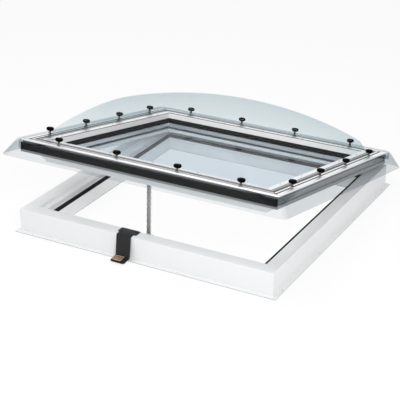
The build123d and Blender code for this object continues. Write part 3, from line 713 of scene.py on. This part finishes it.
def level_edge(edge, radius, height):
    """Whether an edge lies on a circle round the axis, at a height."""
    low, high = sorted(vertex.co.z for vertex in edge.verts)
    from_axis = middle(edge).xy.length
    on_rim = from_axis > 0.97 * radius and edge.verts[0].co.xy.length < 1.01 * radius
    return on_rim and high - low < 0.01 * MM and abs(low - height) < 0.05 * MM


def make_knobs():
    """The sixteen knobs, in rows of four over the slots of the rails."""
    head = KNOB_HEIGHT - KNOB_TAPER
    centre = KNOB_BASE + KNOB_TAPER + head / 2
    knob = drum(KNOB_SIDES, KNOB_RADIUS, head)
    begin(knob)
    pick(knob, "faces", lambda face: face.normal.z < -0.9)
    rings = (
        (KNOB_BASE - centre, KNOB_FOOT_RADIUS / KNOB_RADIUS),
        (KNOB_BASE - centre, KNOB_STEM_RADIUS / KNOB_FOOT_RADIUS),
        (WASHER_TOP - centre, 1.0),
        (WASHER_TOP - centre, WASHER_RADIUS / KNOB_STEM_RADIUS),
        (ACRYLIC - centre, 1.0),
    )
    level = -head / 2
    for height, share in rings:
        extrude((0, 0, height - level))
        widen(share, height)
        level = height
    pick(knob, "edges", lambda edge: level_edge(edge, KNOB_RADIUS, head / 2))
    bpy.ops.mesh.bevel(offset=KNOB_TOP_ROUND, segments=6, affect="EDGES")
    pick(knob, "edges", lambda edge: level_edge(edge, KNOB_RADIUS, -head / 2))
    bpy.ops.mesh.bevel(offset=KNOB_EDGE_ROUND, segments=3, affect="EDGES")
    pick(knob, "faces", lambda face: face.normal.z > 0.99 and face.calc_center_median().z > 0)
    bpy.ops.mesh.inset(thickness=KNOB_DISH_EDGE)
    bpy.ops.transform.translate(value=(0, 0, -KNOB_DISH))
    end(knob)
    for index in range(4 * KNOBS_PER_SIDE):
        side, spot = divmod(index, KNOBS_PER_SIDE)
        shift = (spot - (KNOBS_PER_SIDE - 1) / 2) * KNOB_PITCH
        stand = Matrix.Translation((shift, -SLOT_FROM_CENTRE, centre))
        place = sash_place @ quarter_turns[side] @ stand
        name = "fixing_knob_{:02d}".format(index + 1)
        fasten(copy_of(knob), name, place, "sash", "black_plastic", knob_black, "fixing_knobs")
    drop(knob)


make_knobs()

# Push chain: outer plates with rivet heads and inner plates with rollers, each link
# with a back that is closed, so that the chain can push
chain_pin = Vector(joints["chain_head_pivot"]["pos_m"])
chain_mouth = Vector((CHAIN_X, CHAIN_MOUTH_Y, CHAIN_MOUTH_Z))
chain_way = (chain_pin - chain_mouth).normalized()
chain_top = chain_pin - chain_way * HEAD_LENGTH
chain_lean = Matrix.Rotation(-atan2(chain_way.y, chain_way.z), 4, "X")
RIVET_RADIUS = 1.6 * MM
RIVET_REACH = 0.8 * MM
ROLLER_RADIUS = 3 * MM
LINK_PLAY = 0.3 * MM
LINK_WAIST = 0.86
LINK_BACK = 1.2 * MM
BACK_PLAY = 0.4 * MM
BACK_EDGE = 0.3 * MM
BACK_FROM_PINS = 0.32 * LINK_WIDTH
PLATE_EDGE = 0.35 * MM
PLATE_SWELL = 1.12


def chain_plate(across):
    """A plate with round ends and drawn-in sides, standing across the chain's pins."""
    plate = block(PLATE, LINK_WIDTH, CHAIN_PITCH + LINK_WIDTH)
    begin(plate)
    pick(plate, "edges", lambda edge: abs(edge.verts[0].co.x - edge.verts[1].co.x) > 0.9 * PLATE)
    bpy.ops.mesh.bevel(offset=0.49 * LINK_WIDTH, segments=5, affect="EDGES")
    pick(plate, "edges", lambda edge: edge.calc_length() > 0.5 * CHAIN_PITCH)
    bpy.ops.mesh.subdivide(number_cuts=3)
    pick(plate, "verts", lambda vertex: abs(vertex.co.z) < 0.1 * CHAIN_PITCH)
    bpy.ops.transform.resize(value=(1, LINK_WAIST, 1))
    pick(plate, "faces", lambda face: abs(face.normal.x) > 0.9)
    bpy.ops.mesh.inset(thickness=PLATE_EDGE)
    bpy.ops.transform.resize(value=(PLATE_SWELL, 1, 1))
    end(plate, 40)
    plate.data.transform(Matrix.Translation((across, 0, 0)))
    return plate


def chain_barrel(radius, length, height):
    """A pin or roller lying across the chain, with rounded ends."""
    barrel = drum(14, radius, length)
    begin(barrel)
    pick(barrel, "edges", lambda edge: abs(middle(edge).z) > 0.49 * length)
    bpy.ops.mesh.bevel(offset=0.3 * radius, segments=2, affect="EDGES")
    end(barrel, 40)
    lift = Matrix.Translation((0, 0, height))
    barrel.data.transform(lift @ Matrix.Rotation(pi / 2, 4, "Y"))
    return barrel


def chain_back(width):
    """The closed back of a link, which lets the chain push."""
    back = block(width, LINK_BACK, CHAIN_PITCH + 0.6 * LINK_WIDTH)
    begin(back)
    bpy.ops.mesh.select_all(action="SELECT")
    bpy.ops.mesh.bevel(offset=BACK_EDGE, segments=1, affect="EDGES")
    end(back)
    back.data.transform(Matrix.Translation((0, BACK_FROM_PINS, 0)))
    return back


def make_chain():
    """Both kinds of link, and the run of them from the guide to the head."""
    outer = CHAIN_WIDTH / 2 - PLATE / 2
    inner = outer - PLATE - LINK_PLAY
    half = CHAIN_PITCH / 2
    rivet = CHAIN_WIDTH + RIVET_REACH
    outer_link = joined([
        chain_back(2 * inner - BACK_PLAY),
        chain_plate(outer),
        chain_plate(-outer),
        chain_barrel(RIVET_RADIUS, rivet, half),
        chain_barrel(RIVET_RADIUS, rivet, -half),
    ])
    inner_link = joined([
        chain_plate(inner),
        chain_plate(-inner),
        chain_barrel(ROLLER_RADIUS, 2 * inner, half),
        chain_barrel(ROLLER_RADIUS, 2 * inner, -half),
        chain_back(2 * inner),
    ])
    runs = []
    for link in range(CHAIN_LINKS):
        twin = copy_of(inner_link if link % 2 else outer_link)
        centre = chain_top - chain_way * (link + 0.5) * CHAIN_PITCH
        twin.data.transform(Matrix.Translation(centre) @ chain_lean)
        runs.append(twin)
    run = joined(runs)
    place = Matrix.Identity(4)
    fasten(run, "push_chain_links", place, "kerb", "zinc_steel", chain_steel, "push_chain")
    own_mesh(run)
    drop(outer_link)
    drop(inner_link)


make_chain()

# Screws: a pan head with a cross recess, modelled once and copied at each size
SCREW_RADIUS = 4 * MM
SCREW_HEIGHT = 2.4 * MM
SCREW_ROUND = 0.9 * MM
RECESS = (4.6 * MM, 0.9 * MM, 2.4 * MM)


def pan_head():
    """A pan head that stands on its face at the origin, with its cross recess."""
    head = drum(20, SCREW_RADIUS, SCREW_HEIGHT)
    head.location = (0, 0, SCREW_HEIGHT / 2)
    bpy.ops.object.transform_apply(location=True, rotation=False, scale=False)
    begin(head)
    pick(head, "edges", lambda edge: middle(edge).z > 0.99 * SCREW_HEIGHT)
    bpy.ops.mesh.bevel(offset=SCREW_ROUND, segments=3, affect="EDGES")
    end(head, 40)
    for turn in (0, pi / 2):
        cutter = block(*RECESS)
        cutter.location = (0, 0, SCREW_HEIGHT)
        cutter.rotation_euler = (0, 0, turn)
        bpy.ops.object.transform_apply(location=True, rotation=True, scale=True)
        recess = head.modifiers.new("recess", "BOOLEAN")
        recess.object = cutter
        recess.operation = "DIFFERENCE"
        bpy.context.view_layer.objects.active = head
        bpy.ops.object.modifier_apply(modifier="recess")
        drop(cutter)
    return head


def facing(direction):
    """A turn that stands the head up along a direction."""
    return Vector(direction).to_track_quat("Z", "Y").to_matrix().to_4x4()


screw = pan_head()


def put_screw(name, number, place, body, size, finish=steel_screw):
    """A copy of the screw, numbered, at a share of its size."""
    name = "{}_{}".format(name, number)
    fasten(copy_of(screw), name, place @ Matrix.Scale(size, 4), body, "zinc_steel", finish)


# How large each kind is, as a share of the head above
LIP_SCREW_SIZE = 0.62
SIDE_SCREW_SIZE = 0.7
KERB_LEAF_SCREW_SIZE = 0.9
SASH_LEAF_SCREW_SIZE = 0.62
SENSOR_SCREW_SIZE = 0.55
BRACKET_SCREW_SIZE = 0.8

LIP_SCREWS = 5
LIP_SCREW_PITCH = 188 * MM
LIP_SCREW_FROM_CENTRE = 474 * MM
SIDE_SCREW_ALONG = 411 * MM
SIDE_SCREW_DEPTH = 22 * MM
for index in range(4 * LIP_SCREWS):
    side, spot = divmod(index, LIP_SCREWS)
    shift = (spot - (LIP_SCREWS - 1) / 2) * LIP_SCREW_PITCH
    stand = Matrix.Translation((shift, -LIP_SCREW_FROM_CENTRE, 0))
    place = sash_place @ quarter_turns[side] @ stand
    put_screw("lip_screw", "{:02d}".format(index + 1), place, "sash", LIP_SCREW_SIZE)
for number, shift in enumerate((-SIDE_SCREW_ALONG, SIDE_SCREW_ALONG), 1):
    for hand, side in (("right", 1), ("left", -1)):
        spot = Matrix.Translation((side * SASH_HALF, shift, -SIDE_SCREW_DEPTH))
        place = sash_place @ spot @ facing((side, 0, 0))
        put_screw("side_screw_" + hand, number, place, "sash", SIDE_SCREW_SIZE)

HINGE_FROM_MIDDLE = 300 * MM
LEAF = 3 * MM
KERB_LEAF_SPOTS = ((-30, 64), (30, 64), (-30, 84), (30, 84), (0, 74))
SASH_LEAF_SPOTS = (-60, -38, 38, 60)
SASH_LEAF_SCREW_DEPTH = 40 * MM
backwards = facing((0, 1, 0))
for hand, side in (("left", -1), ("right", 1)):
    centre = side * HINGE_FROM_MIDDLE
    for number, (shift, height) in enumerate(KERB_LEAF_SPOTS, 1):
        spot = (centre + shift * MM, KERB_HALF + LEAF, height * MM)
        place = Matrix.Translation(spot) @ backwards
        put_screw("kerb_leaf_screw_" + hand, number, place, "kerb", KERB_LEAF_SCREW_SIZE)
    for number, shift in enumerate(SASH_LEAF_SPOTS, 1):
        spot = (centre + shift * MM, SASH_HALF + LEAF, -SASH_LEAF_SCREW_DEPTH)
        place = sash_place @ Matrix.Translation(spot) @ backwards
        put_screw("sash_leaf_screw_" + hand, number, place, "sash", SASH_LEAF_SCREW_SIZE)

SENSOR_X = -69 * MM
SENSOR_PLATE = 2.5 * MM
SENSOR_SCREW_FROM_FACE = 42 * MM
SENSOR_SCREW_SHIFT = 32 * MM
sensor_screw_y = -KERB_HALF + SENSOR_SCREW_FROM_FACE
for number, shift in enumerate((-SENSOR_SCREW_SHIFT, SENSOR_SCREW_SHIFT), 1):
    place = Matrix.Translation((SENSOR_X + shift, sensor_screw_y, KERB_HEIGHT + SENSOR_PLATE))
    put_screw("sensor_screw", number, place, "kerb", SENSOR_SCREW_SIZE, sensor_black)
BRACKET_FACE_Y = -447 * MM
BRACKET_SCREW_DEPTH = 81.5 * MM
BRACKET_SCREW_SHIFT = 15 * MM
for number, shift in enumerate((-BRACKET_SCREW_SHIFT, BRACKET_SCREW_SHIFT), 1):
    spot = Matrix.Translation((CHAIN_X + shift, BRACKET_FACE_Y, -BRACKET_SCREW_DEPTH))
    place = sash_place @ spot @ backwards
    put_screw("bracket_screw", number, place, "sash", BRACKET_SCREW_SIZE)
drop(screw)

# Rain sensor bracket: a strip bent over the kerb's edge, which leans out below and
# ends in a foot with round corners, and a bar that holds it on the rim
STRIP_HALF = 31 * MM
STRIP_BACK = 498 * MM
STRIP_START = 10 * MM
STRIP_LINE = (  # the places that it is drawn to in turn, in y and height, in millimetres
    (-550.5, 96.0),
    (-552.2, 95.3),
    (-553.0, 93.6),
    (-563.4, 19.0),
    (-564.2, 16.2),
    (-566.4, 12.4),
    (-608.2, 8.0),
)
FOOT_END_Y = -607 * MM
FOOT_CORNER = 9 * MM
BAR_CENTRE_Y = -515 * MM
BAR_SIZE = (82 * MM, 34 * MM)
BAR_CORNER = 5 * MM
BAR_PLAY = 0.1 * MM  # less than the strip, so that their faces don't fall together


def make_sensor_bracket():
    """The strip, drawn along its bends, and the bar on the rim, as one piece."""
    strip = sheet(1)
    strip.scale = (2 * STRIP_HALF, STRIP_START, 1)
    bpy.ops.object.transform_apply(location=False, rotation=False, scale=True)
    start = (SENSOR_X, -STRIP_BACK - STRIP_START / 2, KERB_HEIGHT)
    strip.data.transform(Matrix.Translation(start))
    begin(strip)
    pick(strip, "edges", lambda edge: middle(edge).y < -STRIP_BACK - 0.9 * STRIP_START)
    spot = Vector((-STRIP_BACK - STRIP_START, KERB_HEIGHT))
    for y, height in STRIP_LINE:
        step = Vector((y * MM, height * MM)) - spot
        extrude((0, *step))
        spot += step
    pick(strip, "verts", lambda vertex: vertex.co.y < FOOT_END_Y)
    bpy.ops.mesh.bevel(offset=FOOT_CORNER, segments=5, affect="VERTICES")
    thicken(strip, SENSOR_PLATE, 1)
    end(strip, 30)
    bar = block(*BAR_SIZE, SENSOR_PLATE - BAR_PLAY)
    begin(bar)
    pick(bar, "edges", lambda edge: abs(edge.verts[0].co.z - edge.verts[1].co.z) > MM)
    bpy.ops.mesh.bevel(offset=BAR_CORNER, segments=5, affect="EDGES")
    end(bar, 30)
    on_rim = (SENSOR_X, BAR_CENTRE_Y, KERB_HEIGHT + SENSOR_PLATE / 2)
    bar.data.transform(Matrix.Translation(on_rim))
    whole = joined([strip, bar])
    place = Matrix.Identity(4)
    replaced = "rain_sensor_bracket"
    fasten(whole, "sensor_bracket", place, "kerb", "black_plastic", sensor_black, replaced)


make_sensor_bracket()

# Sensing pad: comb-shaped copper tracks on the dark board of the rain sensor
pad_low, pad_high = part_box("rain_sensor_pad")
PAD_SLOPE = atan2(6, 58)
PAD_LENGTH = 34 * MM
PAD_WIDTH = 42 * MM
PAD_THICKNESS = 1.5 * MM
TRACK = 1.1 * MM
TRACK_HEIGHT = 0.35 * MM
TRACK_EDGE = 0.12 * MM
TRACK_COUNT = 13
TRACK_SHIFT = 1.4 * MM  # every other one towards the back, the rest to the front
PAD_MARGIN = 3 * MM


def track(length, width, x, y):
    """One raised copper track with soft edges."""
    bar = block(width, length, TRACK_HEIGHT)
    begin(bar)
    pick(bar, "edges", lambda edge: edge.verts[0].co.z > 0 and edge.verts[1].co.z > 0)
    bpy.ops.mesh.bevel(offset=TRACK_EDGE, segments=2, affect="EDGES")
    end(bar)
    bar.data.transform(Matrix.Translation((x, y, TRACK_HEIGHT / 2)))
    return bar


def make_pad():
    """Two rails of copper and the comb of tracks between them."""
    reach = PAD_WIDTH / 2 - PAD_MARGIN
    bars = [
        track(2 * TRACK, 2 * reach, 0, PAD_LENGTH / 2 - PAD_MARGIN),
        track(2 * TRACK, 2 * reach, 0, -PAD_LENGTH / 2 + PAD_MARGIN),
    ]
    pitch = 2 * reach / (TRACK_COUNT - 1)
    tooth = PAD_LENGTH - 2 * PAD_MARGIN - 2 * TRACK_SHIFT
    for index in range(TRACK_COUNT):
        shift = TRACK_SHIFT if index % 2 else -TRACK_SHIFT
        bars.append(track(tooth, TRACK, -reach + index * pitch, shift))
    tracks = joined(bars)
    centre = (Vector(pad_low) + Vector(pad_high)) / 2
    lift = Matrix.Translation((0, 0, PAD_THICKNESS / 2))
    place = Matrix.Translation(centre) @ Matrix.Rotation(PAD_SLOPE, 4, "X") @ lift
    fasten(tracks, "sensor_tracks", place, "kerb", "copper_pad", pad_copper)


make_pad()

# Kerb gasket: its thin lip, which folds over the edge of the ledge
LEDGE_HALF = 459 * MM
LEDGE_HEIGHT = 57 * MM
LINING_SLOPE = 9 / 14
LIP_THICKNESS = 1.2 * MM
LIP_DROP = 4 * MM
LIP_REACH = 3 * MM


def make_gasket_lip():
    """A square ring that lies on the ledge and turns down over its edge."""
    lip = sheet(2 * (LEDGE_HALF + LIP_REACH))
    begin(lip)
    bpy.ops.mesh.select_all(action="SELECT")
    bpy.ops.mesh.inset(thickness=LIP_REACH)
    bpy.ops.mesh.inset(thickness=LIP_DROP * LINING_SLOPE)
    bpy.ops.transform.translate(value=(0, 0, -LIP_DROP))
    bpy.ops.mesh.delete(type="FACE")
    thicken(lip, LIP_THICKNESS, 1)
    end(lip)
    place = Matrix.Translation((0, 0, LEDGE_HEIGHT))
    fasten(lip, "kerb_gasket_lip", place, "kerb", "black_rubber", gasket_black)


make_gasket_lip()

# Studio: a white floor that keeps a faint shadow, a white world and soft lamps
FLOOR_OWN_LIGHT = 0.84
FLOOR_SIZE = 40
FLOOR_BELOW = 0.5 * MM
WORLD_FILL = 0.56
LAMP_TARGET = Vector((0, 0, 0.2))
LAMPS = {  # place, size and power
    "lamp_above": (Vector((-0.8, -0.6, 4.0)), 2.6, 57),
    "lamp_front": (Vector((2.9, -3.6, 3.1)), 2.4, 118),
}


def shown_directly(tree):
    """1 for rays from the camera, a reflection or through glass, else 0."""
    total = tree.add("ShaderNodeLightPath", output="Is Camera Ray")
    for kind in ("Is Glossy Ray", "Is Transmission Ray"):
        ray = tree.add("ShaderNodeLightPath", output=kind)
        total = tree.calculate("MAXIMUM", total, ray)
    return total


def make_floor():
    """A floor that shines where it is looked at and is plain paint to the lamps."""
    floor = sheet(FLOOR_SIZE)
    floor.location = (0, 0, -FLOOR_BELOW)
    floor.name = "studio_floor"
    finish = Finish("studio_floor", {})
    paint = finish.add("ShaderNodeBsdfDiffuse", inputs={"Color": (0.92, 0.92, 0.92, 1)})
    glow = finish.add("ShaderNodeEmission", inputs={"Color": (1, 1, 1, 1)})
    share = shown_directly(finish) * FLOOR_OWN_LIGHT
    floor.data.materials.append(finish.show(finish.mix_shaders(share, paint, glow)))


def make_world():
    """A world that is white where it is looked at and gives less light elsewhere."""
    world = bpy.data.worlds.new("studio_world")
    bpy.context.scene.world = world
    sky = NodeTree(world)
    background = sky.tree.nodes["Background"]
    sky.feed(background.inputs["Color"], (1, 1, 1, 1))
    strength = WORLD_FILL + (1 - WORLD_FILL) * shown_directly(sky)
    sky.feed(background.inputs["Strength"], strength)


def make_lamp(name, place, size, power):
    """A round soft lamp that looks at the object."""
    lamp = bpy.data.lights.new(name, "AREA")
    lamp.shape = "DISK"
    lamp.size = size
    lamp.energy = power
    holder = bpy.data.objects.new(name, lamp)
    bpy.context.collection.objects.link(holder)
    holder.location = place
    holder.rotation_euler = (place - LAMP_TARGET).to_track_quat("Z", "Y").to_euler()


make_floor()
make_world()
for name, lamp in LAMPS.items():
    make_lamp(name, *lamp)

# Camera: the photograph's view, to the right of the front and a little above
CAMERA_AZIMUTH = radians(28.81)
CAMERA_ELEVATION = radians(25.096)
CAMERA_DISTANCE = 5.0763
CAMERA_TARGET = Vector((-0.0703, 0.03977, 0))
CAMERA_LENS = 110.0
CAMERA_SENSOR = 36.0
camera_data = bpy.data.cameras.new("camera")
camera = bpy.data.objects.new("camera", camera_data)
bpy.context.collection.objects.link(camera)
level = cos(CAMERA_ELEVATION)
towards = Vector((
    sin(CAMERA_AZIMUTH) * level,
    -cos(CAMERA_AZIMUTH) * level,
    sin(CAMERA_ELEVATION),
))
camera.location = CAMERA_TARGET + towards * CAMERA_DISTANCE
camera.rotation_euler = towards.to_track_quat("Z", "Y").to_euler()
camera_data.sensor_width = CAMERA_SENSOR
camera_data.lens = CAMERA_LENS
bpy.context.scene.camera = camera
bpy.context.scene.view_settings.view_transform = "Standard"
